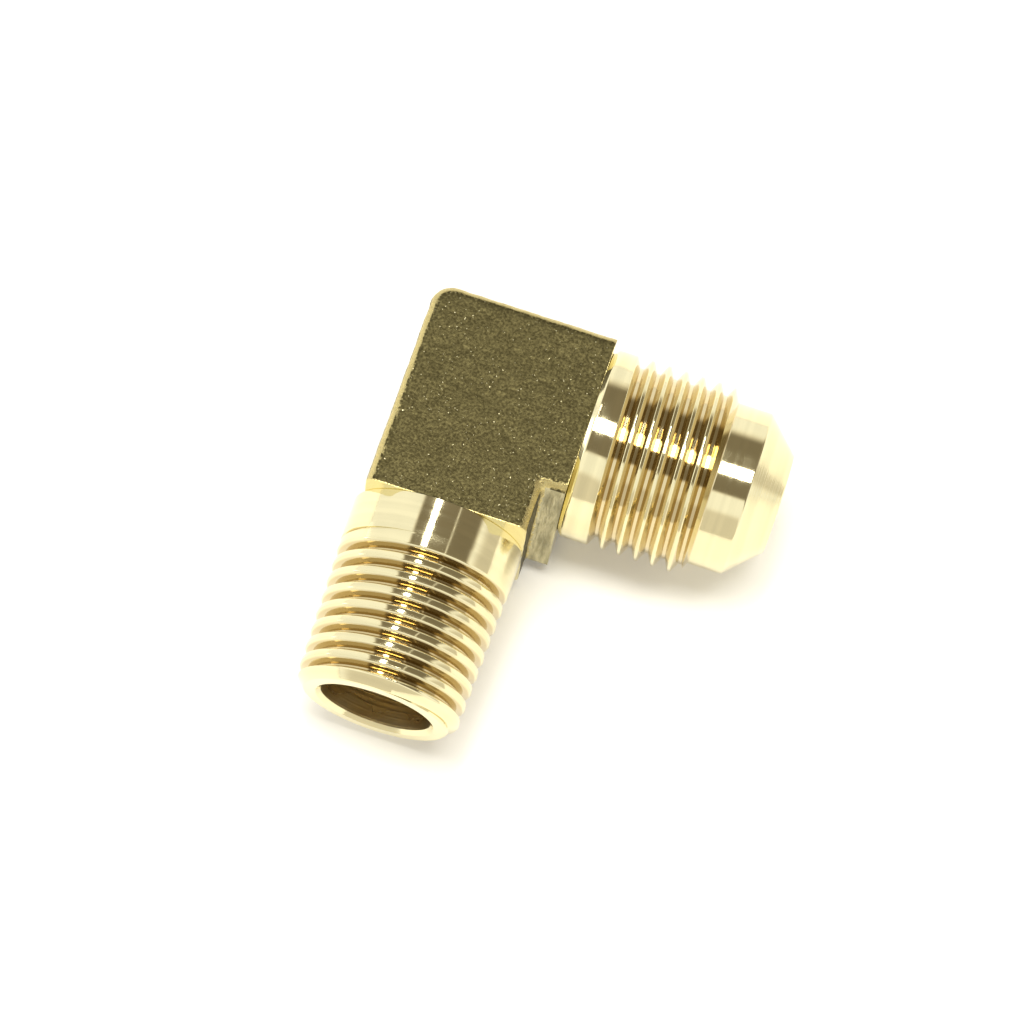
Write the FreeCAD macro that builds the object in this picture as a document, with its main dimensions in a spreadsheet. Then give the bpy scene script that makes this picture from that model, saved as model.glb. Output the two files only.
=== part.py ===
"""One-piece 90 degree male elbow in brass: a 3/8 in SAE 45 degree flare end and a 1/4-18 NPT end.

The block is a square-sided hot forging. Both ends are turned, threaded and drilled from it, so the
whole fitting is one solid. The two port axes meet at the origin: the flare end points along +X, the
pipe end along -Y, and the fitting lies flat with +Z up. All sizes are in millimetres and degrees.
"""

import FreeCAD, Part
import math
import os
import Sketcher

V = FreeCAD.Vector
NODE = "elbow_body"

# Driving dimensions: alias, value, meaning. A station is a distance from the origin along a port's axis.
DIMENSIONS = (
    ("block_height", 13.0, "height of the forged block, both arms"),
    ("pipe_arm_outer", 6.2, "pipe axis to that arm's outer flat"),
    ("pipe_arm_inner", 7.05, "pipe axis to that arm's inner flat"),
    ("flare_arm_outer", 6.85, "flare axis to that arm's outer flat"),
    ("flare_arm_inner", 6.95, "flare axis to that arm's inner flat"),
    ("heel_radius", 1.8, "rounded outer corner where the arms meet"),
    ("crotch_foot", 9.0, "flare axis to the foot of the sloping wall between the arms"),
    ("forged_edge_radius", 0.6, "rounding along the forged edges"),
    ("thread_pitch", 1.41111, "18 threads per inch, both ends"),
    ("cutter_margin", 0.2, "how far a thread cutter stands out of the crest"),
    ("flare_shoulder", 8.95, "station of the faced shoulder of the flare arm"),
    ("flare_heel_radius", 7.5, "flare collar's radius at the shoulder"),
    ("flare_heel_end", 9.35, "station where the flare collar is full size"),
    ("flare_crest_radius", 7.9, "5/8-18 UNF crest and the plain collar behind it"),
    ("flare_thread_end", 19.2, "station of the last full crest"),
    ("nose_start", 19.75, "station where the plain nose starts"),
    ("nose_radius", 6.8, "plain nose ahead of the thread"),
    ("nose_end", 22.6, "station where the 45 degree seat starts"),
    ("seat_end", 25.3, "station of the nose's end face"),
    ("seat_end_radius", 4.1, "small end of the seat"),
    ("flare_bore_radius", 3.57, "9/32 in drill"),
    ("flare_bore_end", 0.0, "station where the flare bore's full size ends"),
    ("flare_drill_point", -2.15, "station of its drill point"),
    ("flare_crest_flat", 0.17, "flat left on the flare thread's crest"),
    ("flare_thread_depth", 0.85, "5/8-18 UNF external thread depth"),
    ("flare_root_flat", 0.25, "width of the thread cutter's tip"),
    ("flare_cutter_start", 21.25, "station where the cutter starts, clear of the thread"),
    ("flare_turns", 7, "cutter turns at full depth"),
    ("flare_runout_turns", 0.5, "turns in which the cutter leaves the work"),
    ("flare_runout_angle", 54, "slope at which it leaves"),
    ("pipe_shoulder", 11.0, "station of the faced shoulder of the pipe arm"),
    ("pipe_collar_radius", 7.05, "plain collar behind the pipe thread"),
    ("pipe_collar_end", 13.9, "station where the 1 in 16 taper starts"),
    ("pipe_taper_angle", 1.79, "half angle of that taper"),
    ("pipe_taper_end", 26.1, "station where the end chamfer starts"),
    ("pipe_taper_end_radius", 6.669, "crest radius there"),
    ("pipe_tip", 26.9, "station of the pipe end's face"),
    ("pipe_face_radius", 5.88, "outer edge of that face"),
    ("pipe_bore_radius", 4.55, "bore through the pipe arm"),
    ("pipe_bore_end", -1.2, "station where the pipe bore's full size ends"),
    ("pipe_drill_point", -4.05, "station of its drill point"),
    ("mouth_chamfer", 0.33, "chamfer at both bore mouths"),
    ("pipe_crest_flat", 0.42, "flat left on the pipe thread's crest, well truncated"),
    ("pipe_thread_depth", 0.78, "1/4-18 NPT thread depth below those crests"),
    ("pipe_root_flat", 0.12, "width of the thread cutter's tip"),
    ("pipe_cutter_start", 28.02, "station where the cutter starts, clear of the tip"),
    ("pipe_cutter_radius", 6.609, "crest radius of the taper there"),
    ("pipe_turns", 9, "cutter turns at full depth"),
    ("pipe_runout_turns", 1, "turns in which the cutter leaves the work"),
    ("pipe_runout_angle", 38, "slope at which it leaves"),
)

# The volume, in cubic millimetres, that any cut must remove to count as having cut anything.
LEAST_CUT = 1.0


def make_sheet(doc):
    """The spreadsheet that drives every size: column B holds the values, and A and C explain them."""
    sheet = doc.addObject("Spreadsheet::Sheet", "size")
    for row, (alias, value, meaning) in enumerate(DIMENSIONS, start=1):
        sheet.set(f"A{row}", alias)
        sheet.set(f"B{row}", str(value))
        sheet.set(f"C{row}", meaning)
        sheet.setAlias(f"B{row}", alias)
    doc.recompute()
    return sheet


def origin_feature(body, role):
    """One of the body's own origin planes or axes."""
    return next(part for part in body.Origin.OriginFeatures if part.Role == role)


def outline(body, name, corners, plane="XY_Plane"):
    """A closed outline on one of the body's planes, each corner a pair of expressions over the sheet.

    It is drawn as a regular polygon, and the constraints then move every corner to its place.
    """
    sketch = body.newObject("Sketcher::SketchObject", name)
    sketch.AttachmentSupport = [(origin_feature(body, plane), "")]
    sketch.MapMode = "FlatFace"
    count = len(corners)
    turns = [2 * math.pi * index / count for index in range(count)]
    points = [V(math.cos(turn), math.sin(turn), 0) for turn in turns]
    for here, there in zip(points, points[1:] + points[:1]):
        sketch.addGeometry(Part.LineSegment(here, there), False)
    for edge in range(count):
        sketch.addConstraint(Sketcher.Constraint("Coincident", edge, 2, (edge + 1) % count, 1))
    for edge, ((across, along), point) in enumerate(zip(corners, points)):
        for kind, expression, drawn in (("DistanceX", across, point.x), ("DistanceY", along, point.y)):
            index = sketch.addConstraint(Sketcher.Constraint(kind, -1, 1, edge, 1, drawn))
            sketch.setExpression(f"Constraints[{index}]", expression)
    return sketch


def edges_where(shape, chosen):
    """The names of the shape's edges whose two ends both pass the test."""
    return [
        f"Edge{number}"
        for number, edge in enumerate(shape.Edges, start=1)
        if all(chosen(vertex.Point) for vertex in edge.Vertexes)
    ]


def fillet(body, name, base, edges, radius):
    """A fillet on the named edges of the feature before it."""
    rounding = body.newObject("PartDesign::Fillet", name)
    rounding.Base = (base, edges)
    rounding.setExpression("Radius", radius)
    body.Document.recompute()
    return rounding


def turned(body, name, axis, corners):
    """Material turned about a port's axis, from its half section."""
    revolution = body.newObject("PartDesign::Revolution", name)
    revolution.Profile = outline(body, name + "_section", corners)
    revolution.ReferenceAxis = (origin_feature(body, axis), [""])
    revolution.Angle = 360
    body.Document.recompute()
    return revolution


def drilled(body, name, axis, corners):
    """A bore about a port's axis, from its half section. A bore that removed nothing is an error."""
    before = body.Shape.Volume
    groove = body.newObject("PartDesign::Groove", name)
    groove.Profile = outline(body, name + "_section", corners)
    groove.ReferenceAxis = (origin_feature(body, axis), [""])
    groove.Angle = 360
    body.Document.recompute()
    check_cut(name, before, body.Shape.Volume)
    return groove


def threaded(body, name, axis, profile, turns, angle):
    """One pass of a right-hand thread cutter along a helix that runs back towards the origin."""
    before = body.Shape.Volume
    helix = body.newObject("PartDesign::SubtractiveHelix", name)
    helix.Profile = profile
    helix.ReferenceAxis = (origin_feature(body, axis), [""])
    helix.Mode = "pitch-turns-angle"
    helix.Reversed = axis == "X_Axis"
    helix.setExpression("Pitch", "size.thread_pitch")
    helix.setExpression("Turns", turns)
    helix.setExpression("Angle", angle)
    body.Document.recompute()
    check_cut(name, before, body.Shape.Volume)
    return helix


def check_cut(name, before, after):
    """Stops if a cut missed the work."""
    if before - after < LEAST_CUT:
        raise RuntimeError(f"{name} removed {before - after:.3f} mm3")


def forge_block(body):
    """The square-sided L of the forging, with a sloping wall between the arms and rounded edges."""
    corners = (
        ("-size.pipe_arm_outer", "size.flare_arm_outer"),
        ("-size.pipe_arm_outer", "-size.pipe_shoulder"),
        ("size.pipe_arm_inner", "-size.pipe_shoulder"),
        ("size.pipe_arm_inner", "-size.flare_arm_inner"),
        ("size.flare_shoulder", "-size.flare_arm_inner"),
        ("size.flare_shoulder", "size.flare_arm_outer"),
    )
    block = body.newObject("PartDesign::Pad", "block")
    block.Profile = outline(body, "block_outline", corners)
    block.SideType = "Symmetric"
    block.setExpression("Length", "size.block_height")
    body.Document.recompute()

    sheet = body.Document.getObject("size")

    def on_heel(at):
        """On the upright edge of the outer corner."""
        return at.x < 0.01 - sheet.pipe_arm_outer and at.y > sheet.flare_arm_outer - 0.01

    heel = fillet(body, "heel", block, edges_where(block.Shape, on_heel), "size.heel_radius")

    def on_flats(at):
        """On the top or the bottom face of the block."""
        return abs(abs(at.z) - sheet.block_height / 2) < 0.01

    forged_edges = []
    for edge_name in edges_where(heel.Shape, on_flats):
        edge = heel.Shape.getElement(edge_name)
        middle = edge.valueAt((edge.FirstParameter + edge.LastParameter) / 2)
        in_shoulder = max(middle.x - sheet.flare_shoulder, -middle.y - sheet.pipe_shoulder) > -0.01
        if on_flats(middle) and not in_shoulder:
            forged_edges.append(edge_name)
    fillet(body, "forged_edges", heel, forged_edges, "size.forged_edge_radius")

    slope = (
        ("-size.flare_arm_inner", "size.block_height / 2 - size.forged_edge_radius"),
        ("-size.crotch_foot", "-size.block_height / 2"),
        ("-size.flare_arm_inner", "-size.block_height / 2"),
    )
    wall = body.newObject("PartDesign::Pad", "crotch_wall")
    wall.Profile = outline(body, "crotch_wall_outline", slope, "YZ_Plane")
    wall.setExpression("Length", "size.flare_shoulder")
    body.Document.recompute()


def turn_flare_end(body):
    """Collar, thread blank, plain nose and 45 degree seat, all about the X axis."""
    corners = (
        ("size.flare_shoulder", "0"),
        ("size.flare_shoulder", "size.flare_heel_radius"),
        ("size.flare_heel_end", "size.flare_crest_radius"),
        ("size.flare_thread_end", "size.flare_crest_radius"),
        ("size.nose_start", "size.nose_radius"),
        ("size.nose_end", "size.nose_radius"),
        ("size.seat_end", "size.seat_end_radius"),
        ("size.seat_end", "0"),
    )
    return turned(body, "flare_end", "X_Axis", corners)


def turn_pipe_end(body):
    """Collar, 1 in 16 taper and chamfered tip, all about the Y axis."""
    corners = (
        ("0", "-size.pipe_shoulder"),
        ("size.pipe_collar_radius", "-size.pipe_shoulder"),
        ("size.pipe_collar_radius", "-size.pipe_collar_end"),
        ("size.pipe_taper_end_radius", "-size.pipe_taper_end"),
        ("size.pipe_face_radius", "-size.pipe_tip"),
        ("0", "-size.pipe_tip"),
    )
    return turned(body, "pipe_end", "Y_Axis", corners)


def drill_flare_bore(body):
    """The smaller bore, from the nose's mouth to a drill point inside the pipe bore."""
    corners = (
        ("size.flare_drill_point", "0"),
        ("size.flare_bore_end", "size.flare_bore_radius"),
        ("size.seat_end - size.mouth_chamfer", "size.flare_bore_radius"),
        ("size.seat_end", "size.flare_bore_radius + size.mouth_chamfer"),
        ("size.seat_end", "0"),
    )
    return drilled(body, "flare_bore", "X_Axis", corners)


def drill_pipe_bore(body):
    """The larger bore, from the pipe end's mouth to a drill point just past the flare axis."""
    corners = (
        ("0", "-size.pipe_drill_point"),
        ("size.pipe_bore_radius", "-size.pipe_bore_end"),
        ("size.pipe_bore_radius", "-size.pipe_tip + size.mouth_chamfer"),
        ("size.pipe_bore_radius + size.mouth_chamfer", "-size.pipe_tip"),
        ("0", "-size.pipe_tip"),
    )
    return drilled(body, "pipe_bore", "Y_Axis", corners)


def cutter(end, station, radius):
    """A thread cutter's profile, as (along the axis, out from it) expressions: two flanks and a flat tip."""
    crest = f"(size.thread_pitch - size.{end}_crest_flat) / 2"
    root, depth = f"size.{end}_root_flat / 2", f"size.{end}_thread_depth"
    return tuple(
        (f"{station} {side} {half_width}", f"{radius} {out}")
        for side, half_width, out in (
            ("-", crest, "+ size.cutter_margin"),
            ("-", crest, "+ 0"),
            ("-", root, f"- {depth}"),
            ("+", root, f"- {depth}"),
            ("+", crest, "+ 0"),
            ("+", crest, "+ size.cutter_margin"),
        )
    )


def cut_flare_thread(body):
    """5/8-18 UNF, right-handed: full turns from the nose to the collar, then a short runout."""
    stations = ("size.flare_cutter_start", "size.flare_cutter_start - size.flare_turns * size.thread_pitch")
    passes = (
        ("flare_thread", "size.flare_turns", "0"),
        ("flare_thread_runout", "size.flare_runout_turns", "size.flare_runout_angle"),
    )
    for station, (name, turns, angle) in zip(stations, passes):
        corners = cutter("flare", station, "size.flare_crest_radius")
        threaded(body, name, "X_Axis", outline(body, name + "_cutter", corners), turns, angle)


def cut_pipe_thread(body):
    """1/4-18 NPT, right-handed: full turns along the taper from the tip, then a runout into the collar."""
    travel = "size.pipe_turns * size.thread_pitch"
    starts = (
        ("size.pipe_cutter_start", "size.pipe_cutter_radius"),
        (f"(size.pipe_cutter_start - {travel})", f"size.pipe_cutter_radius + {travel} / 32"),
    )
    passes = (
        ("pipe_thread", "size.pipe_turns", "size.pipe_taper_angle"),
        ("pipe_thread_runout", "size.pipe_runout_turns", "size.pipe_runout_angle"),
    )
    for (station, radius), (name, turns, angle) in zip(starts, passes):
        along_out = cutter("pipe", station, radius)
        corners = tuple((out, f"-({along})") for along, out in along_out)
        threaded(body, name, "Y_Axis", outline(body, name + "_cutter", corners), turns, angle)


def main():
    doc = FreeCAD.newDocument("elbow")
    make_sheet(doc)
    body = doc.addObject("PartDesign::Body", NODE)
    body.Label = NODE
    body.Placement = FreeCAD.Placement(V(0, 0, 0), FreeCAD.Rotation())
    forge_block(body)
    turn_flare_end(body)
    turn_pipe_end(body)
    cut_flare_thread(body)
    cut_pipe_thread(body)
    drill_pipe_bore(body)
    drill_flare_bore(body)
    doc.recompute()

    failed = [item.Name for item in doc.Objects if {"Invalid", "Error"} & set(item.State)]
    if failed:
        raise RuntimeError(f"these objects failed: {failed}")
    shape = body.Shape
    if shape.isNull() or not shape.isValid() or len(shape.Solids) != 1:
        raise RuntimeError("the elbow is not one valid solid")
    print(f"{NODE}: {shape.Volume:.1f} mm3, {len(shape.Faces)} faces")
    os.makedirs("parts", exist_ok=True)
    shape.exportStep(f"parts/{NODE}.step")


main()
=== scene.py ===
"""A one-piece brass flare elbow, modelled over its CAD body and set on a pale studio table.

Everything is in metres, in the CAD frame: the flare end points along +X, the pipe end along
-Y, and the two port axes meet at the origin. MM turns millimetres into metres.
"""

import math

import bpy
from mathutils import Matrix, Vector


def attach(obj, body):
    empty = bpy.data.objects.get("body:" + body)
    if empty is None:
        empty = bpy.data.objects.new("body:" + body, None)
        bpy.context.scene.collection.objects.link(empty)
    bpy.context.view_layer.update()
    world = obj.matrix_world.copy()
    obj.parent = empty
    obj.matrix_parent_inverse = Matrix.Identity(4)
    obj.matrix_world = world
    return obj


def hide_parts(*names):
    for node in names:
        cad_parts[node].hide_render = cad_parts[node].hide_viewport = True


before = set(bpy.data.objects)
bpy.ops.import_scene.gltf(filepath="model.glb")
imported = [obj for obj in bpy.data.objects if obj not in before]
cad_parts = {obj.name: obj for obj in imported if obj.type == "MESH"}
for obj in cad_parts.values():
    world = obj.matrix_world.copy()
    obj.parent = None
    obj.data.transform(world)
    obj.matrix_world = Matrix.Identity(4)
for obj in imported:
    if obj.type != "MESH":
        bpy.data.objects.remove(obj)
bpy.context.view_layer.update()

bl_info = {
    "name": "Brass Flare Elbow",
    "version": (1, 0, 0),
    "blender": (4, 5, 0),
    "location": "View3D > Sidebar > Elbow",
    "description": "Forges, turns, threads and drills a brass flare elbow on a studio table",
    "category": "Mesh",
}

MM = 0.001
CAD_NODE = "elbow_body"
ROUND_STEPS = 180
WELD = 1e-7
FLAT = 1e-5
BESIDE = 5 * FLAT

# Threads: a 1 in 16 taper on the diameter, and how a crest rounds off, as (inward, down) shares
# of its rounding
TAPER = 1 / 32
CREST_CURVE = ((0.5, 0.18), (1.0, 0.66))

# Blanks reach this far back towards the origin, and have these radii inside the block
BLANK_START = 2 * MM
FLARE_ROOT_RADIUS = 5 * MM
PIPE_ROOT_RADIUS = 5.2 * MM
DRILL_PAST = 1 * MM

# Forged surface: sizes of its waves and dents, and the dents' share of the waviness
WAVE_SIZE = 2.2 * MM
DENT_SIZE = 0.55 * MM
DENT_SHARE = 0.55

# How squarely a face has to look one way to count as a cut face or as the wall between the arms
CUT_FACING = 0.999
WALL_FACING = 0.8
SMOOTH_ANGLE = math.radians(28)

# Tool marks: distance from ring to ring and their height, in metres
TURNED_RINGS = {"spacing": 9e-5, "relief": 1.4e-6}
DRILLED_RINGS = {"spacing": 2.6e-4, "relief": 4e-5, "streak": 0.5}
DRILLED_ROUGHNESS = 0.31
# Painted shade in the thread roots: the share of each colour left at the bottom of the thread
FLARE_ROOT_SHADE = (0.80, 0.74, 0.70)
PIPE_ROOT_SHADE = (0.68, 0.61, 0.54)
GRAIN_SCALE = 4600.0

# Table
TABLE_ROUGHNESS = 0.6
TABLE_GLOW_COLOUR = (1.0, 0.95, 0.84, 1.0)

# The white room, by the direction looked in. Each fade goes from none at its first number to all
# at its second, along one axis. The ceiling is dark where all its fades meet, but for a slit.
CEILING_FADES = (
    ("X", -0.45, -0.36),
    ("X", 0.84, 0.74),
    ("Y", -0.56, -0.46),
    ("Y", 0.96, 0.76),
    ("Z", 0.1, 0.35),
)
SLIT_FADES = (("X", 0.355, 0.375), ("X", 0.405, 0.385))
FRONT_FADES = (("Y", -0.78, -0.88),)
SIDE_FADES = (("X", 0.80, 0.92), ("Y", 0.05, 0.20))
WINDOW_FADES = (("X", -0.955, -0.985),)
SLIT_SHARE = 0.7
FRONT_SHARE = 0.4
SIDE_SHARE = 0.45
WINDOW_GAIN = 2.5
ROOM_TINT = (1.0, 0.99, 0.96, 1.0)
CEILING_TINT = (1.0, 0.84, 0.60, 1.0)

# Lamps: name, direction from the origin (they stand 1 m away), width and depth in metres
LAMPS = (
    ("Lamp over the pipe end", (-0.1, 0.31, 0.945), 0.11, 0.32),
    ("Lamp over the flare end", (-0.01, 0.045, 0.999), 0.70, 0.27),
)
LAMP_COLOUR = (1.0, 0.985, 0.94)
CAMERA_NEAR, CAMERA_FAR = 0.01, 10


# ------------------------------------------------------------------------------
# Settings that a user may change
# ------------------------------------------------------------------------------


def length(name, millimetres, description):
    """A length setting, given in millimetres and kept in metres."""
    return bpy.props.FloatProperty(
        name=name, description=description, default=millimetres * MM, unit="LENGTH", precision=5
    )


def factor(name, value, description):
    """A plain number setting without a unit."""
    return bpy.props.FloatProperty(name=name, description=description, default=value, min=0.0)


def colour(name, value, description):
    """A colour setting."""
    return bpy.props.FloatVectorProperty(
        name=name, description=description, default=value, subtype="COLOR", size=3,
        min=0.0, max=1.0
    )


class ForgingSettings(bpy.types.PropertyGroup):
    """The square-sided block between the two ends."""

    height: length("Height", 13.0, "Height of the block")
    pipe_outer: length("Pipe arm outer", 6.2, "Pipe axis to that arm's outer flat")
    pipe_inner: length("Pipe arm inner", 7.05, "Pipe axis to that arm's inner flat")
    flare_outer: length("Flare arm outer", 6.85, "Flare axis to that arm's outer flat")
    flare_inner: length("Flare arm inner", 6.95, "Flare axis to that arm's inner flat")
    crotch_foot: length("Crotch foot", 9.0, "Flare axis to the foot of the wall between the arms")
    heel_radius: length("Heel radius", 1.8, "Rounding of the outer corner")
    edge_radius: length("Edge radius", 0.75, "Rounding along the forged edges")
    grain: length("Grain", 0.2, "Size of the mesh cells that carry the forged surface")
    waviness: length("Waviness", 0.1, "How far the forged faces wander from flat")


class FlareSettings(bpy.types.PropertyGroup):
    """The turned and threaded flare end. Stations are measured from the origin along +X."""

    shoulder: length("Shoulder", 8.95, "Station of the faced shoulder")
    heel_radius: length("Heel radius", 7.5, "Collar radius at the shoulder")
    heel_end: length("Heel end", 9.35, "Station where the collar is full size")
    crest_radius: length("Crest radius", 7.9, "Thread crest and collar radius")
    thread_end: length("Thread end", 19.2, "Station of the last full crest")
    nose_start: length("Nose start", 19.75, "Station where the plain nose starts")
    nose_radius: length("Nose radius", 6.8, "Radius of the plain nose")
    nose_end: length("Nose end", 22.6, "Station where the seat starts")
    seat_end: length("Seat end", 25.3, "Station of the end face")
    seat_end_radius: length("Seat end radius", 4.1, "Small end of the seat")
    bore_radius: length("Bore radius", 3.57, "Radius of the flare bore")
    drill_point: length("Drill point", 2.15, "How far the drill point passes the pipe axis")
    crest_flat: length("Crest flat", 0.17, "Width of a crest")
    crest_round: length("Crest round", 0.06, "Rounding on each side of a crest")
    thread_depth: length("Thread depth", 0.85, "Depth of the thread")
    root_flat: length("Root flat", 0.25, "Width of the thread's root")
    cutter_start: length("Cutter start", 21.25, "Station where the thread cutter starts")
    turns: factor("Turns", 7.0, "Turns of thread at full depth")
    runout_turns: factor("Runout turns", 0.5, "Turns in which the cutter leaves the work")
    runout_slope: factor("Runout slope", 1.376, "Rise of the cutter per unit along, as it leaves")


class PipeSettings(bpy.types.PropertyGroup):
    """The turned and threaded pipe end. Stations are measured from the origin along -Y."""

    shoulder: length("Shoulder", 11.0, "Station of the faced shoulder")
    collar_radius: length("Collar radius", 7.05, "Radius of the plain collar")
    collar_end: length("Collar end", 13.9, "Station where the taper starts")
    taper_end: length("Taper end", 26.1, "Station where the end chamfer starts")
    taper_end_radius: length("Taper end radius", 6.669, "Crest radius there")
    tip: length("Tip", 26.9, "Station of the end face")
    face_radius: length("Face radius", 5.88, "Outer edge of the end face")
    bore_radius: length("Bore radius", 4.55, "Radius of the pipe bore")
    bore_end: length("Bore end", 1.2, "How far the bore's full size passes the flare axis")
    drill_point: length("Drill point", 4.05, "How far its drill point passes the flare axis")
    crest_flat: length("Crest flat", 0.30, "Width of a crest")
    crest_round: length("Crest round", 0.23, "Rounding on each side of a crest")
    thread_depth: length("Thread depth", 0.78, "Depth of the thread")
    root_flat: length("Root flat", 0.12, "Width of the thread's root")
    cutter_start: length("Cutter start", 28.02, "Station where the thread cutter starts")
    cutter_radius: length("Cutter radius", 6.609, "Crest radius of the taper there")
    turns: factor("Turns", 9.0, "Turns of thread at full depth")
    runout_turns: factor("Runout turns", 1.0, "Turns in which the cutter leaves the work")
    runout_slope: factor("Runout slope", 0.781, "Rise of the cutter per unit along, as it leaves")


class ThreadSettings(bpy.types.PropertyGroup):
    """What both threads and both bores share."""

    pitch: length("Pitch", 1.41111, "Crest to crest")
    margin: length("Margin", 0.3, "How far a thread cutter stands out of the crest")
    mouth_chamfer: length("Mouth chamfer", 0.33, "Chamfer at both bore mouths")
    ease: length("Ease", 0.06, "Softening of the turned corners")


class FinishSettings(bpy.types.PropertyGroup):
    """Colours and roughness of the brass."""

    bright: colour("Bright brass", (0.86, 0.785, 0.49), "Turned brass")
    skin: colour("Forged skin", (0.096, 0.082, 0.035), "Forged skin, lighter tone")
    skin_dark: colour("Dark skin", (0.053, 0.044, 0.018), "Forged skin, darker tone")
    # Rubbed brass on the forged edges, which also serves as a painted edge highlight
    worn_and_highlight: colour("Worn edge and painted highlight", (0.60, 0.50, 0.22), "Rubbed brass along the forged edges")
    bore: colour("Bore", (0.92, 0.75, 0.42), "Drilled surface inside the bores")
    turned_roughness: factor("Turned roughness", 0.085, "Roughness of the turned surfaces")
    skin_roughness: factor("Skin roughness", 0.5, "Roughness of the forged skin")


class StageSettings(bpy.types.PropertyGroup):
    """Table, lamps and camera."""

    table_colour: colour("Table", (0.95, 0.94, 0.90), "Colour of the table top")
    table_glow: factor("Table glow", 0.08, "Faint light of the table's own, for pale shadows")
    table_size: length("Table size", 3000.0, "Width of the table top")
    room_light: factor("Room light", 1.15, "Brightness of the white room")
    ceiling_light: factor("Ceiling light", 0.24, "Brightness of the dark part of the ceiling")
    lamp_light: factor("Lamp light", 13.0, "Brightness of the two overhead lamps")
    camera_azimuth: bpy.props.FloatProperty(
        name="Camera azimuth", description="Angle round from -Y towards +X",
        default=math.radians(8.66), subtype="ANGLE")
    camera_elevation: bpy.props.FloatProperty(
        name="Camera elevation", description="Angle above the table", default=math.radians(70.13),
        subtype="ANGLE")
    camera_roll: bpy.props.FloatProperty(
        name="Camera roll", description="Turn about the line of sight", default=math.radians(9.87),
        subtype="ANGLE")
    camera_distance: length("Camera distance", 259.52, "How far back from the origin it stands")
    camera_aside: length("Camera aside", 2.512, "How far right of the origin it stands")
    camera_below: length("Camera below", 8.442, "How far below the origin it stands")
    focal_length: bpy.props.FloatProperty(
        name="Focal length", description="Lens in millimetres, for a 36 mm sensor", default=112.5)


SETTING_GROUPS = (
    ("elbow_forging", ForgingSettings),
    ("elbow_flare", FlareSettings),
    ("elbow_pipe", PipeSettings),
    ("elbow_thread", ThreadSettings),
    ("elbow_finish", FinishSettings),
    ("elbow_stage", StageSettings),
)


# ------------------------------------------------------------------------------
# Modelling
# ------------------------------------------------------------------------------


def work_on(piece):
    """Makes the piece the only selected object and the active one."""
    bpy.ops.object.select_all(action="DESELECT")
    piece.select_set(True)
    bpy.context.view_layer.objects.active = piece


def apply_modifier(piece, kind, **settings):
    """Adds a modifier with these settings and applies it."""
    work_on(piece)
    modifier = piece.modifiers.new(kind.title(), kind)
    for name, value in settings.items():
        setattr(modifier, name, value)
    bpy.ops.object.modifier_apply(modifier=modifier.name)


def polygon(name, corners, fill="NOTHING"):
    """A closed outline through the corners, drawn from a circle with as many corners."""
    bpy.ops.object.select_all(action="DESELECT")
    bpy.ops.mesh.primitive_circle_add(vertices=len(corners), fill_type=fill)
    piece = bpy.context.object
    piece.name = piece.data.name = name
    for vertex, corner in zip(piece.data.vertices, corners):
        vertex.co = corner
    return piece


def face_outwards(piece):
    """Welds doubled points, drops loose ones and turns every face outwards."""
    work_on(piece)
    bpy.ops.object.mode_set(mode="EDIT")
    bpy.ops.mesh.select_all(action="SELECT")
    bpy.ops.mesh.remove_doubles(threshold=WELD)
    bpy.ops.mesh.delete_loose()
    bpy.ops.mesh.select_all(action="SELECT")
    bpy.ops.mesh.normals_make_consistent(inside=False)
    bpy.ops.object.mode_set(mode="OBJECT")


def eased(section, ease):
    """The half section with each corner off the axis cut into two close ones, to catch light.

    A second point further off on each side holds the shading of the long faces straight.
    """
    points = [Vector(point) for point in section]
    result = []
    for index, point in enumerate(points):
        before, after = points[index - 1], points[(index + 1) % len(points)]
        if point.y < ease:
            result.append(point)
            continue
        for other, steps in ((before, (2, 1)), (after, (1, 2))):
            stride = (other - point).normalized() * min(ease, (other - point).length / 6)
            result.extend(point + stride * step for step in steps)
    return result


def turned(name, axis, section, material, ease=0.0):
    """A solid turned about X or Y from its half section, given as (station, radius) pairs."""
    outline = eased(section, ease) if ease else section
    if axis == "X":
        corners = [(station, radius, 0) for station, radius in outline]
    else:
        corners = [(radius, -station, 0) for station, radius in outline]
    piece = polygon(name, corners)
    apply_modifier(
        piece, "SCREW", axis=axis, angle=math.tau, screw_offset=0.0, steps=ROUND_STEPS,
        render_steps=ROUND_STEPS, use_merge_vertices=True, merge_threshold=WELD)
    face_outwards(piece)
    piece.data.materials.append(material)
    return piece


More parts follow.
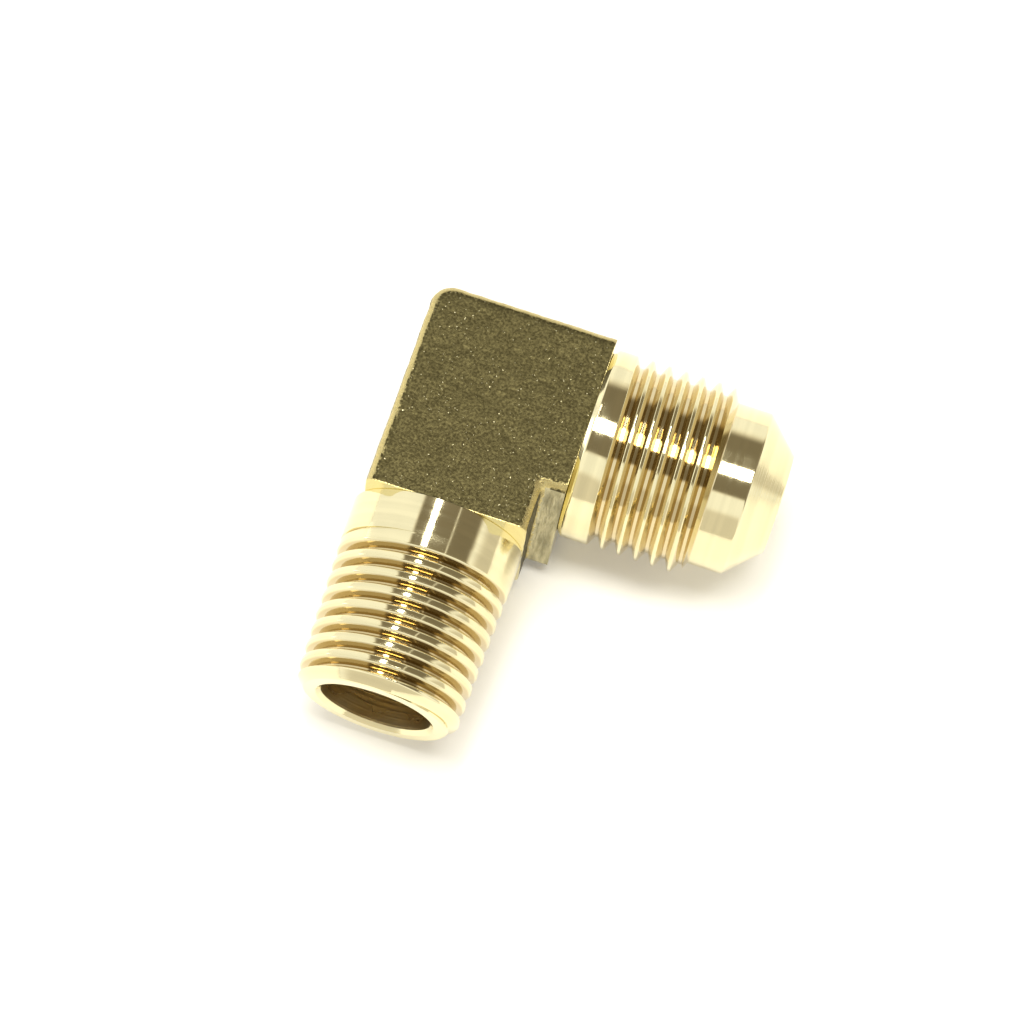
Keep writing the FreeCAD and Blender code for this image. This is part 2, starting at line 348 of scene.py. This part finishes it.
def thread_cutter(name, axis, start, radius, size, turns, thread, rise, material, side=1):
    """A right-hand thread cutter swept round the axis from its start towards +X or +Y.

    rise(turn) is how far the cutter has moved out from the axis after so many turns. The sweep
    starts on the +Y or +X side of the axis, or on the other side of it when side is -1.
    """
    crest, blend = (thread.pitch - size.crest_flat) / 2, size.crest_round
    half = (
        (crest, thread.margin),
        (crest, 0),
        *[(crest - inward * blend, -down * blend) for inward, down in CREST_CURVE],
        (size.root_flat / 2, -size.thread_depth),
    )
    section = [(-along, out) for along, out in half] + list(reversed(half))
    if axis == "X":
        corners = [(start + along, side * (radius + out), 0) for along, out in section]
    else:
        corners = [(side * (radius + out), start + along, 0) for along, out in section]
    piece = polygon(name, corners)
    steps = round(turns * ROUND_STEPS)
    apply_modifier(
        piece, "SCREW", axis=axis, angle=turns * math.tau, screw_offset=turns * thread.pitch,
        steps=steps, render_steps=steps, use_merge_vertices=False)
    line = Vector((1, 0, 0)) if axis == "X" else Vector((0, 1, 0))
    for index, vertex in enumerate(piece.data.vertices):
        turn = index // len(section) / ROUND_STEPS
        outward = vertex.co - line * vertex.co.dot(line)
        vertex.co += outward.normalized() * rise(turn)
    work_on(piece)
    bpy.ops.object.mode_set(mode="EDIT")
    bpy.ops.mesh.select_all(action="DESELECT")
    bpy.ops.mesh.select_mode(type="EDGE")
    bpy.ops.mesh.select_non_manifold()
    bpy.ops.mesh.fill_holes(sides=0)
    bpy.ops.object.mode_set(mode="OBJECT")
    face_outwards(piece)
    piece.data.materials.append(material)
    return piece


def combine(piece, tool, operation):
    """Joins the tool to the piece or cuts it away, and removes the tool."""
    apply_modifier(
        piece, "BOOLEAN", operation=operation, object=tool, solver="EXACT",
        material_mode="TRANSFER")
    bpy.data.objects.remove(tool, do_unlink=True)


def select_edges(piece, chosen):
    """In edit mode, selects the edges whose two ends both pass the test."""
    bpy.ops.mesh.select_all(action="DESELECT")
    bpy.ops.mesh.select_mode(type="EDGE")
    bpy.ops.object.mode_set(mode="OBJECT")
    points = [vertex.co for vertex in piece.data.vertices]
    for edge in piece.data.edges:
        edge.select = all(chosen(points[index]) for index in edge.vertices)
    bpy.ops.object.mode_set(mode="EDIT")


def extrude(piece, offset):
    """Gives a flat filled outline its thickness."""
    work_on(piece)
    bpy.ops.object.mode_set(mode="EDIT")
    bpy.ops.mesh.select_all(action="SELECT")
    bpy.ops.mesh.extrude_region_move(TRANSFORM_OT_translate={"value": offset})
    bpy.ops.mesh.select_all(action="SELECT")
    bpy.ops.mesh.normals_make_consistent(inside=False)
    bpy.ops.object.mode_set(mode="OBJECT")


def face_off(piece, station, outward, material_index):
    """Cuts the piece flat at a station along one direction and gives the new face its material."""
    work_on(piece)
    bpy.ops.object.mode_set(mode="EDIT")
    bpy.ops.mesh.select_all(action="SELECT")
    bpy.ops.mesh.bisect(
        plane_co=outward * station, plane_no=outward, use_fill=True, clear_outer=True,
        threshold=WELD)
    bpy.ops.object.mode_set(mode="OBJECT")
    for face in piece.data.polygons:
        squarely = face.normal.dot(outward) > CUT_FACING
        if squarely and abs(face.center.dot(outward) - station) < FLAT:
            face.material_index = material_index


def roughened(piece, name, size, strength):
    """Moves the surface in and out by a smooth random amount."""
    texture = bpy.data.textures.new(name, "CLOUDS")
    texture.noise_scale = size
    texture.noise_depth = 2
    apply_modifier(
        piece, "DISPLACE", texture=texture, texture_coords="LOCAL", strength=strength,
        mid_level=0.5)


# ------------------------------------------------------------------------------
# Materials
# ------------------------------------------------------------------------------


class Nodes:
    """Adds nodes to a tree and links them as it goes."""

    def __init__(self, tree):
        self.tree = tree
        tree.nodes.clear()

    def add(self, kind, inputs=(), **settings):
        """A node with these settings. Each input is a value, or a socket to link from."""
        node = self.tree.nodes.new(kind)
        for name, value in settings.items():
            setattr(node, name, value)
        for name, value in dict(inputs).items():
            if isinstance(value, bpy.types.NodeSocket):
                self.tree.links.new(value, node.inputs[name])
            else:
                node.inputs[name].default_value = value
        return node

    def math(self, operation, first, second=0.0, clamp=False):
        """The result of a maths node."""
        node = self.add(
            "ShaderNodeMath", {0: first, 1: second}, operation=operation, use_clamp=clamp)
        return node.outputs[0]

    def ramp(self, value, low, high, start=0.0, end=1.0):
        """The value taken smoothly from start to end as it goes from low to high."""
        node = self.add(
            "ShaderNodeMapRange",
            {"Value": value, "From Min": low, "From Max": high, "To Min": start, "To Max": end},
            interpolation_type="SMOOTHSTEP")
        return node.outputs["Result"]

    def mix(self, amount, first, second):
        """Two colours mixed."""
        node = self.add("ShaderNodeMix", data_type="RGBA")
        for name, value in (("Factor_Float", amount), ("A_Color", first), ("B_Color", second)):
            socket = next(item for item in node.inputs if item.identifier == name)
            if isinstance(value, bpy.types.NodeSocket):
                self.tree.links.new(value, socket)
            else:
                socket.default_value = value
        return next(item for item in node.outputs if item.identifier == "Result_Color")

    def faded(self, direction, fades):
        """The product of a fade along each axis given, as (axis, none, all)."""
        result = None
        for axis, low, high in fades:
            fade = self.ramp(direction.outputs[axis], low, high)
            result = fade if result is None else self.math("MULTIPLY", result, fade)
        return result

    def noise(self, coordinates, scale, detail=2.0, roughness=0.5):
        """Smooth noise over the coordinates."""
        node = self.add(
            "ShaderNodeTexNoise",
            {"Vector": coordinates, "Scale": scale, "Detail": detail, "Roughness": roughness})
        return node.outputs["Fac"]


def new_group(name, inputs, outputs):
    """An empty shader group with these sockets, and the nodes to fill it with."""
    tree = bpy.data.node_groups.new(name, "ShaderNodeTree")
    nodes = Nodes(tree)
    for side, sockets in (("INPUT", inputs), ("OUTPUT", outputs)):
        for socket_name, kind in sockets:
            tree.interface.new_socket(socket_name, in_out=side, socket_type="NodeSocket" + kind)
    return tree, nodes, nodes.add("NodeGroupInput"), nodes.add("NodeGroupOutput")


def turning_marks_group():
    """Fine rings left by the tool: a height, and a tone that varies from ring to ring."""
    tree, nodes, given, result = new_group(
        "Turning marks",
        (("Station", "Float"), ("Position", "Vector"), ("Spacing", "Float")),
        (("Height", "Float"), ("Tone", "Float")))
    rings = nodes.math("DIVIDE", given.outputs["Station"], given.outputs["Spacing"])
    fine = nodes.add(
        "ShaderNodeTexNoise", {"W": rings, "Scale": 1.0, "Detail": 2.0}, noise_dimensions="1D")
    slow = nodes.math("MULTIPLY", rings, 0.13)
    broad = nodes.add(
        "ShaderNodeTexNoise", {"W": slow, "Scale": 1.0, "Detail": 1.0}, noise_dimensions="1D")
    patch = nodes.noise(given.outputs["Position"], 420.0, 3.0)
    height = nodes.math("ADD", fine.outputs["Fac"], nodes.math("MULTIPLY", patch, 0.12))
    tone = nodes.math("ADD", broad.outputs["Fac"], nodes.math("MULTIPLY", patch, 0.6))
    nodes.tree.links.new(height, result.inputs["Height"])
    nodes.tree.links.new(nodes.ramp(tone, 0.5, 1.1), result.inputs["Tone"])
    return tree


def surface_grain_group():
    """Grain of a forged surface: a height, dark-to-light tone, and a mask of small flecks."""
    tree, nodes, given, result = new_group(
        "Forged grain",
        (("Position", "Vector"), ("Scale", "Float")),
        (("Height", "Float"), ("Tone", "Float"), ("Flecks", "Float")))
    position, scale = given.outputs["Position"], given.outputs["Scale"]
    coarse = nodes.noise(position, scale, 4.0, 0.65)
    fine = nodes.noise(position, nodes.math("MULTIPLY", scale, 3.2), 3.0, 0.6)
    broad = nodes.noise(position, nodes.math("MULTIPLY", scale, 0.28), 2.0)
    pits = nodes.add(
        "ShaderNodeTexVoronoi", {"Vector": position, "Scale": nodes.math("MULTIPLY", scale, 0.8)})
    pit = nodes.ramp(pits.outputs["Distance"], 0.05, 0.25)
    height = nodes.math(
        "ADD", nodes.math("MULTIPLY", coarse, 0.8), nodes.math("MULTIPLY", fine, 0.5))
    height = nodes.math("ADD", height, nodes.math("MULTIPLY", pit, 0.25))
    tone = nodes.math(
        "ADD", nodes.math("MULTIPLY", coarse, 0.85), nodes.math("MULTIPLY", broad, 0.15))
    sparks = nodes.add(
        "ShaderNodeTexVoronoi", {"Vector": position, "Scale": nodes.math("MULTIPLY", scale, 1.1)})
    near = nodes.ramp(sparks.outputs["Distance"], 0.22, 0.08)
    cluster = nodes.noise(position, nodes.math("MULTIPLY", scale, 0.9))
    chosen = nodes.math("GREATER_THAN", cluster, 0.6)
    nodes.tree.links.new(height, result.inputs["Height"])
    nodes.tree.links.new(nodes.ramp(tone, 0.34, 0.66), result.inputs["Tone"])
    nodes.tree.links.new(nodes.math("MULTIPLY", near, chosen), result.inputs["Flecks"])
    return tree


def new_material(name):
    """A material with only an output and a Principled BSDF, and the nodes to feed it with."""
    material = bpy.data.materials.new(name)
    material.use_nodes = True
    nodes = Nodes(material.node_tree)
    shader = nodes.add("ShaderNodeBsdfPrincipled")
    output = nodes.add("ShaderNodeOutputMaterial")
    nodes.tree.links.new(shader.outputs["BSDF"], output.inputs["Surface"])
    position = nodes.add("ShaderNodeTexCoord").outputs["Object"]
    return material, nodes, shader, position


def solid(rgb, scale=1.0):
    """An RGBA colour, scaled."""
    return (*[channel * scale for channel in rgb], 1.0)


def turned_brass(name, axis, marks, base, roughness, spacing, relief,
                 root_shade=FLARE_ROOT_SHADE, streak=0.9):
    """Brass with rings about X or Y.

    root_shade is the painted shade in a thread's root, as how much of each colour is left there,
    and streak how much of the tone is left in the darkest rings.
    """
    material, nodes, shader, position = new_material(name)
    separate = nodes.add("ShaderNodeSeparateXYZ", {"Vector": position})
    rings = nodes.add("ShaderNodeGroup", node_tree=marks)
    nodes.tree.links.new(separate.outputs[axis], rings.inputs["Station"])
    nodes.tree.links.new(position, rings.inputs["Position"])
    rings.inputs["Spacing"].default_value = spacing
    tone = rings.outputs["Tone"]
    # Painted shade: the colour darkens with the root depth, towards the bottom of each thread
    root = nodes.add("ShaderNodeAttribute", attribute_name="root").outputs["Fac"]
    shade = nodes.ramp(root, 0.03, 0.25)
    clean = nodes.mix(tone, solid(base, streak), solid(base))
    painted_root_shade = tuple(channel * share for channel, share in zip(base, root_shade))
    nodes.tree.links.new(nodes.mix(shade, clean, solid(painted_root_shade)), shader.inputs["Base Color"])
    nodes.tree.links.new(
        nodes.ramp(tone, 0.0, 1.0, roughness * 1.25, roughness * 0.8),
        shader.inputs["Roughness"])
    shader.inputs["Metallic"].default_value = 1.0
    bump = nodes.add(
        "ShaderNodeBump",
        {"Height": rings.outputs["Height"], "Strength": 1.0, "Distance": relief})
    nodes.tree.links.new(bump.outputs["Normal"], shader.inputs["Normal"])
    return material


def sheared_brass(name, finish):
    """Brass where the flash was trimmed off: streaks that run up and down."""
    material, nodes, shader, position = new_material(name)
    stretched = nodes.add("ShaderNodeMapping", {"Vector": position, "Scale": (1.0, 1.0, 0.12)})
    streaks = nodes.noise(stretched.outputs["Vector"], 2400.0, 3.0, 0.6)
    broad = nodes.noise(stretched.outputs["Vector"], 700.0, 2.0)
    tone = nodes.ramp(nodes.math("ADD", streaks, broad), 0.7, 1.3)
    nodes.tree.links.new(
        nodes.mix(tone, solid(finish.bright, 0.42), solid(finish.bright, 0.72)),
        shader.inputs["Base Color"])
    nodes.tree.links.new(nodes.ramp(tone, 0.0, 1.0, 0.5, 0.33), shader.inputs["Roughness"])
    shader.inputs["Metallic"].default_value = 1.0
    bump = nodes.add("ShaderNodeBump", {"Height": tone, "Strength": 0.8, "Distance": 4e-5})
    nodes.tree.links.new(bump.outputs["Normal"], shader.inputs["Normal"])
    return material


def forged_brass(name, grain, finish):
    """Dull forged skin with grain, pits, a few bright flecks and edges lightened by wear and
    painted highlight.
    """
    material, nodes, shader, position = new_material(name)
    skin = nodes.add("ShaderNodeGroup", node_tree=grain)
    nodes.tree.links.new(position, skin.inputs["Position"])
    skin.inputs["Scale"].default_value = GRAIN_SCALE
    tone = nodes.mix(skin.outputs["Tone"], solid(finish.skin_dark), solid(finish.skin))
    # Rim: the forged edges take a lighter colour, partly rubbed brass and partly a painted
    # highlight
    rim = nodes.add("ShaderNodeAttribute", attribute_name="rim").outputs["Fac"]
    uneven = nodes.math("MULTIPLY", skin.outputs["Tone"], 0.05)
    worn_and_highlight = nodes.ramp(nodes.math("ADD", rim, uneven), 0.045, 0.12)
    patchy = nodes.ramp(skin.outputs["Height"], 0.5, 0.9, 0.3, 0.9)
    worn_and_highlight = nodes.math("MULTIPLY", worn_and_highlight, patchy)
    tone = nodes.mix(worn_and_highlight, tone, solid(finish.worn_and_highlight))
    nodes.tree.links.new(
        nodes.mix(skin.outputs["Flecks"], tone, solid(finish.bright)), shader.inputs["Base Color"])
    worn_and_highlight = nodes.math("MAXIMUM", worn_and_highlight, skin.outputs["Flecks"])
    rough = nodes.ramp(
        skin.outputs["Tone"], 0.0, 1.0, finish.skin_roughness * 1.15, finish.skin_roughness * 0.8)
    rough = nodes.math("SUBTRACT", rough, nodes.math("MULTIPLY", worn_and_highlight, 0.2), clamp=True)
    nodes.tree.links.new(rough, shader.inputs["Roughness"])
    shader.inputs["Metallic"].default_value = 1.0
    bump = nodes.add(
        "ShaderNodeBump", {"Height": skin.outputs["Height"], "Strength": 0.6, "Distance": 6e-5})
    nodes.tree.links.new(bump.outputs["Normal"], shader.inputs["Normal"])
    return material


# ------------------------------------------------------------------------------
# Operators
# ------------------------------------------------------------------------------


def part_named(name):
    """A piece that an earlier operator made."""
    return bpy.data.objects[name]


class ELBOW_OT_materials(bpy.types.Operator):
    """Mixes the finishes: forged skin, turned brass for each end, and the drilled bores"""

    bl_idname = "elbow.materials"
    bl_label = "Mix Finishes"

    def execute(self, context):
        finish = context.scene.elbow_finish
        marks, grain = turning_marks_group(), surface_grain_group()
        forged_brass("Forged skin", grain, finish)
        sheared_brass("Trimmed wall", finish)
        turned_brass(
            "Turned flare end", "X", marks, finish.bright, finish.turned_roughness,
            **TURNED_RINGS)
        turned_brass(
            "Turned pipe end", "Y", marks, finish.bright, finish.turned_roughness,
            root_shade=PIPE_ROOT_SHADE, **TURNED_RINGS)
        for name, axis in (("Drilled pipe bore", "Y"), ("Drilled flare bore", "X")):
            turned_brass(name, axis, marks, finish.bore, DRILLED_ROUGHNESS, **DRILLED_RINGS)
        return {"FINISHED"}


class ELBOW_OT_forging(bpy.types.Operator):
    """Forges the square-sided block with its rough skin, and faces both shoulders"""

    bl_idname = "elbow.forging"
    bl_label = "Forge Block"

    def execute(self, context):
        size = context.scene.elbow_forging
        flare, pipe = context.scene.elbow_flare, context.scene.elbow_pipe
        half, spare = size.height / 2, 4 * size.edge_radius
        flare_end, pipe_end = flare.shoulder + spare, -pipe.shoulder - spare
        block = polygon("Elbow", (
            (-size.pipe_outer, size.flare_outer, -half),
            (-size.pipe_outer, pipe_end, -half),
            (size.pipe_inner, pipe_end, -half),
            (size.pipe_inner, -size.flare_inner, -half),
            (flare_end, -size.flare_inner, -half),
            (flare_end, size.flare_outer, -half),
        ), fill="NGON")
        extrude(block, (0, 0, size.height))
        work_on(block)
        bpy.ops.object.mode_set(mode="EDIT")
        select_edges(
            block, lambda at: at.x < FLAT - size.pipe_outer and at.y > size.flare_outer - FLAT)
        bpy.ops.mesh.bevel(offset=size.heel_radius, segments=8)
        select_edges(block, lambda at: abs(abs(at.z) - half) < FLAT)
        bpy.ops.mesh.bevel(offset=size.edge_radius, segments=4)
        bpy.ops.object.mode_set(mode="OBJECT")

        wall = polygon("Crotch wall", (
            (0, -size.flare_inner + size.edge_radius, half - size.edge_radius),
            (0, -size.flare_inner, half - size.edge_radius),
            (0, -size.crotch_foot, -half + size.edge_radius / 2),
            (0, -size.crotch_foot + size.edge_radius / 2, -half),
            (0, -size.flare_inner + size.edge_radius, -half),
        ), fill="NGON")
        extrude(wall, (flare_end, 0, 0))
        block.select_set(True)
        bpy.context.view_layer.objects.active = block
        bpy.ops.object.join()

        apply_modifier(block, "REMESH", mode="VOXEL", voxel_size=size.grain, use_smooth_shade=True)
        roughened(block, "Forged waves", WAVE_SIZE, size.waviness)
        roughened(block, "Forged dents", DENT_SIZE, DENT_SHARE * size.waviness)
        finishes = ("Forged skin", "Turned flare end", "Turned pipe end", "Trimmed wall")
        for name in finishes:
            block.data.materials.append(bpy.data.materials[name])
        for face in block.data.polygons:
            x, y, z = face.center
            between = x > size.pipe_inner and -pipe.shoulder < y < -size.flare_inner
            if between and face.normal.y < -WALL_FACING:
                face.material_index = finishes.index("Trimmed wall")
        face_off(block, flare.shoulder, Vector((1, 0, 0)), finishes.index("Turned flare end"))
        face_off(block, pipe.shoulder, Vector((0, -1, 0)), finishes.index("Turned pipe end"))
        return {"FINISHED"}


class ELBOW_OT_flare_end(bpy.types.Operator):
    """Turns the flare end, cuts its thread and joins it to the block"""

    bl_idname = "elbow.flare_end"
    bl_label = "Turn Flare End"

    def execute(self, context):
        size, thread = context.scene.elbow_flare, context.scene.elbow_thread
        material = bpy.data.materials["Turned flare end"]
        blank = turned("Flare blank", "X", (
            (BLANK_START, 0),
            (BLANK_START, FLARE_ROOT_RADIUS),
            (size.shoulder - BESIDE, FLARE_ROOT_RADIUS),
            (size.shoulder - FLAT, size.heel_radius),
            (size.heel_end, size.crest_radius),
            (size.thread_end, size.crest_radius),
            (size.nose_start, size.nose_radius),
            (size.nose_end, size.nose_radius),
            (size.seat_end, size.seat_end_radius),
            (size.seat_end, 0),
        ), material, thread.ease)
        turns = size.turns + size.runout_turns
        start = size.cutter_start - turns * thread.pitch

        def rise(turn):
            left = max(0.0, size.runout_turns - turn)
            return left * thread.pitch * size.runout_slope

        cutter = thread_cutter(
            "Flare thread cutter", "X", start, size.crest_radius, size, turns, thread, rise,
            material, side=-1)
        combine(blank, cutter, "DIFFERENCE")
        combine(part_named("Elbow"), blank, "UNION")
        return {"FINISHED"}


class ELBOW_OT_pipe_end(bpy.types.Operator):
    """Turns the pipe end, cuts its tapered thread and joins it to the block"""

    bl_idname = "elbow.pipe_end"
    bl_label = "Turn Pipe End"

    def execute(self, context):
        size, thread = context.scene.elbow_pipe, context.scene.elbow_thread
        material = bpy.data.materials["Turned pipe end"]
        blank = turned("Pipe blank", "Y", (
            (BLANK_START, 0),
            (BLANK_START, PIPE_ROOT_RADIUS),
            (size.shoulder - BESIDE, PIPE_ROOT_RADIUS),
            (size.shoulder - FLAT, size.collar_radius),
            (size.collar_end, size.collar_radius),
            (size.taper_end, size.taper_end_radius),
            (size.tip, size.face_radius),
            (size.tip, 0),
        ), material, thread.ease)

        def rise(turn):
            past = max(0.0, turn - size.turns)
            tapered = min(turn, size.turns) * thread.pitch * TAPER
            return tapered + past * thread.pitch * size.runout_slope

        cutter = thread_cutter(
            "Pipe thread cutter", "Y", -size.cutter_start, size.cutter_radius, size,
            size.turns + size.runout_turns, thread, rise, material)
        combine(blank, cutter, "DIFFERENCE")
        combine(part_named("Elbow"), blank, "UNION")
        return {"FINISHED"}


class ELBOW_OT_bores(bpy.types.Operator):
    """Drills both bores and chamfers their mouths"""

    bl_idname = "elbow.bores"
    bl_label = "Drill Bores"

    def execute(self, context):
        flare, pipe = context.scene.elbow_flare, context.scene.elbow_pipe
        chamfer = context.scene.elbow_thread.mouth_chamfer
        past = DRILL_PAST
        pipe_drill = turned("Pipe drill", "Y", (
            (-pipe.drill_point, 0),
            (-pipe.bore_end, pipe.bore_radius),
            (pipe.tip - chamfer, pipe.bore_radius),
            (pipe.tip + past, pipe.bore_radius + chamfer + past),
            (pipe.tip + past, 0),
        ), bpy.data.materials["Drilled pipe bore"])
        combine(part_named("Elbow"), pipe_drill, "DIFFERENCE")
        flare_drill = turned("Flare drill", "X", (
            (-flare.drill_point, 0),
            (0, flare.bore_radius),
            (flare.seat_end - chamfer, flare.bore_radius),
            (flare.seat_end + past, flare.bore_radius + chamfer + past),
            (flare.seat_end + past, 0),
        ), bpy.data.materials["Drilled flare bore"])
        combine(part_named("Elbow"), flare_drill, "DIFFERENCE")
        mesh = part_named("Elbow").data
        slots = {slot.name: index for index, slot in enumerate(mesh.materials)}
        for face in mesh.polygons:
            if face.center.y < chamfer - pipe.tip:
                face.material_index = slots["Turned pipe end"]
            if face.center.x > flare.seat_end - chamfer:
                face.material_index = slots["Turned flare end"]
        return {"FINISHED"}


class ELBOW_OT_finish(bpy.types.Operator):
    """Smooths the shading and puts the finished elbow in the CAD body's place"""

    bl_idname = "elbow.finish"
    bl_label = "Finish Elbow"

    def execute(self, context):
        elbow = part_named("Elbow")
        face_outwards(elbow)
        work_on(elbow)
        bpy.ops.object.shade_smooth_by_angle(angle=SMOOTH_ANGLE)
        rim = elbow.data.attributes.new("rim", "FLOAT", "POINT")
        root = elbow.data.attributes.new("root", "FLOAT", "POINT")
        flare, pipe = context.scene.elbow_flare, context.scene.elbow_pipe
        # root: depth below the crest, which sets the painted shade in the thread roots
        for item, vertex in zip(root.data, elbow.data.vertices):
            x, y, z = vertex.co
            if flare.heel_end < x < flare.nose_start:
                item.value = (flare.crest_radius - math.hypot(y, z)) / flare.thread_depth
            elif -pipe.taper_end < y < -pipe.collar_end:
                crest = pipe.collar_radius + (y + pipe.collar_end) * TAPER
                item.value = (crest - math.hypot(x, z)) / pipe.thread_depth
        # rim: how far the vertex normal leans off the block's faces, marking the edges for the
        # rubbed brass and painted highlight
        for item, vertex in zip(rim.data, elbow.data.vertices):
            item.value = 1 - max(abs(part) for part in vertex.normal)
        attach(elbow, "root")
        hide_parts(CAD_NODE)
        return {"FINISHED"}


class ELBOW_OT_stage(bpy.types.Operator):
    """Sets the table, the white room with its dark ceiling, the two lamps and the camera"""

    bl_idname = "elbow.stage"
    bl_label = "Set Stage"

    def execute(self, context):
        stage = context.scene.elbow_stage
        radius = context.scene.elbow_flare.crest_radius
        bpy.ops.object.select_all(action="DESELECT")
        bpy.ops.mesh.primitive_plane_add(size=stage.table_size, location=(0, 0, -radius))
        table = context.object
        table.name = "Table"
        bpy.ops.object.transform_apply(location=True, rotation=False, scale=False)
        material, _, shader, _ = new_material("Table top")
        shader.inputs["Base Color"].default_value = solid(stage.table_colour)
        shader.inputs["Roughness"].default_value = TABLE_ROUGHNESS
        shader.inputs["Emission Color"].default_value = TABLE_GLOW_COLOUR
        shader.inputs["Emission Strength"].default_value = stage.table_glow
        table.data.materials.append(material)

        world = bpy.data.worlds.new("White room")
        context.scene.world = world
        world.use_nodes = True
        nodes = Nodes(world.node_tree)
        direction = nodes.add("ShaderNodeTexCoord").outputs["Generated"]
        split = nodes.add("ShaderNodeSeparateXYZ", {"Vector": direction})
        dark = nodes.faded(split, CEILING_FADES)
        slit = nodes.math("MULTIPLY", nodes.faded(split, SLIT_FADES), SLIT_SHARE)
        dark = nodes.math("MULTIPLY", dark, nodes.math("SUBTRACT", 1.0, slit))
        front = nodes.math("MULTIPLY", nodes.faded(split, FRONT_FADES), FRONT_SHARE)
        side = nodes.math("MULTIPLY", nodes.faded(split, SIDE_FADES), SIDE_SHARE)
        dark = nodes.math("MAXIMUM", dark, nodes.math("MAXIMUM", front, side))
        strength = nodes.ramp(dark, 0.0, 1.0, stage.room_light, stage.ceiling_light)
        window = nodes.math("MULTIPLY", nodes.faded(split, WINDOW_FADES), WINDOW_GAIN)
        strength = nodes.math("ADD", strength, window)
        tint = nodes.mix(dark, ROOM_TINT, CEILING_TINT)
        background = nodes.add("ShaderNodeBackground", {"Color": tint, "Strength": strength})
        output = nodes.add("ShaderNodeOutputWorld")
        nodes.tree.links.new(background.outputs["Background"], output.inputs["Surface"])

        for name, towards, wide, deep in LAMPS:
            lamp = bpy.data.lights.new(name, "AREA")
            lamp.shape = "RECTANGLE"
            lamp.size, lamp.size_y = wide, deep
            lamp.energy = stage.lamp_light * math.pi * wide * deep
            lamp.color = LAMP_COLOUR
            holder = bpy.data.objects.new(name, lamp)
            aim = Vector(towards)
            aim.normalize()
            sideways = Vector((0, 1, 0)).cross(aim).normalized()
            turn = Matrix((sideways, aim.cross(sideways), aim)).transposed().to_4x4()
            holder.matrix_world = Matrix.Translation(aim) @ turn
            context.scene.collection.objects.link(holder)

        azimuth, elevation = stage.camera_azimuth, stage.camera_elevation
        roll = stage.camera_roll
        back = Vector((
            math.sin(azimuth) * math.cos(elevation),
            -math.cos(azimuth) * math.cos(elevation),
            math.sin(elevation),
        ))
        level = Vector((math.cos(azimuth), math.sin(azimuth), 0))
        upright = back.cross(level)
        right = level * math.cos(roll) + upright * math.sin(roll)
        top = upright * math.cos(roll) - level * math.sin(roll)
        camera = bpy.data.cameras.new("Camera")
        camera.lens = stage.focal_length
        camera.clip_start, camera.clip_end = CAMERA_NEAR, CAMERA_FAR
        holder = bpy.data.objects.new("Camera", camera)
        turn = Matrix((right, top, back)).transposed().to_4x4()
        place = back * stage.camera_distance + right * stage.camera_aside
        place -= top * stage.camera_below
        holder.matrix_world = Matrix.Translation(place) @ turn
        context.scene.collection.objects.link(holder)
        context.scene.camera = holder
        context.scene.view_settings.view_transform = "Standard"
        return {"FINISHED"}


class ELBOW_PT_panel(bpy.types.Panel):
    """The sidebar panel that lists the elbow's steps"""

    bl_idname = "ELBOW_PT_panel"
    bl_label = "Flare Elbow"
    bl_space_type = "VIEW_3D"
    bl_region_type = "UI"
    bl_category = "Elbow"

    def draw(self, context):
        for operator in STEPS:
            self.layout.operator(operator.bl_idname)


STEPS = (
    ELBOW_OT_materials,
    ELBOW_OT_forging,
    ELBOW_OT_flare_end,
    ELBOW_OT_pipe_end,
    ELBOW_OT_bores,
    ELBOW_OT_finish,
    ELBOW_OT_stage,
)


def register():
    for name, group in SETTING_GROUPS:
        bpy.utils.register_class(group)
        setattr(bpy.types.Scene, name, bpy.props.PointerProperty(type=group))
    for operator in STEPS:
        bpy.utils.register_class(operator)
    bpy.utils.register_class(ELBOW_PT_panel)


def unregister():
    bpy.utils.unregister_class(ELBOW_PT_panel)
    for operator in reversed(STEPS):
        bpy.utils.unregister_class(operator)
    for name, group in reversed(SETTING_GROUPS):
        delattr(bpy.types.Scene, name)
        bpy.utils.unregister_class(group)


def main():
    register()
    bpy.ops.elbow.materials()
    bpy.ops.elbow.forging()
    bpy.ops.elbow.flare_end()
    bpy.ops.elbow.pipe_end()
    bpy.ops.elbow.bores()
    bpy.ops.elbow.finish()
    bpy.ops.elbow.stage()


if __name__ == "__main__":
    main()
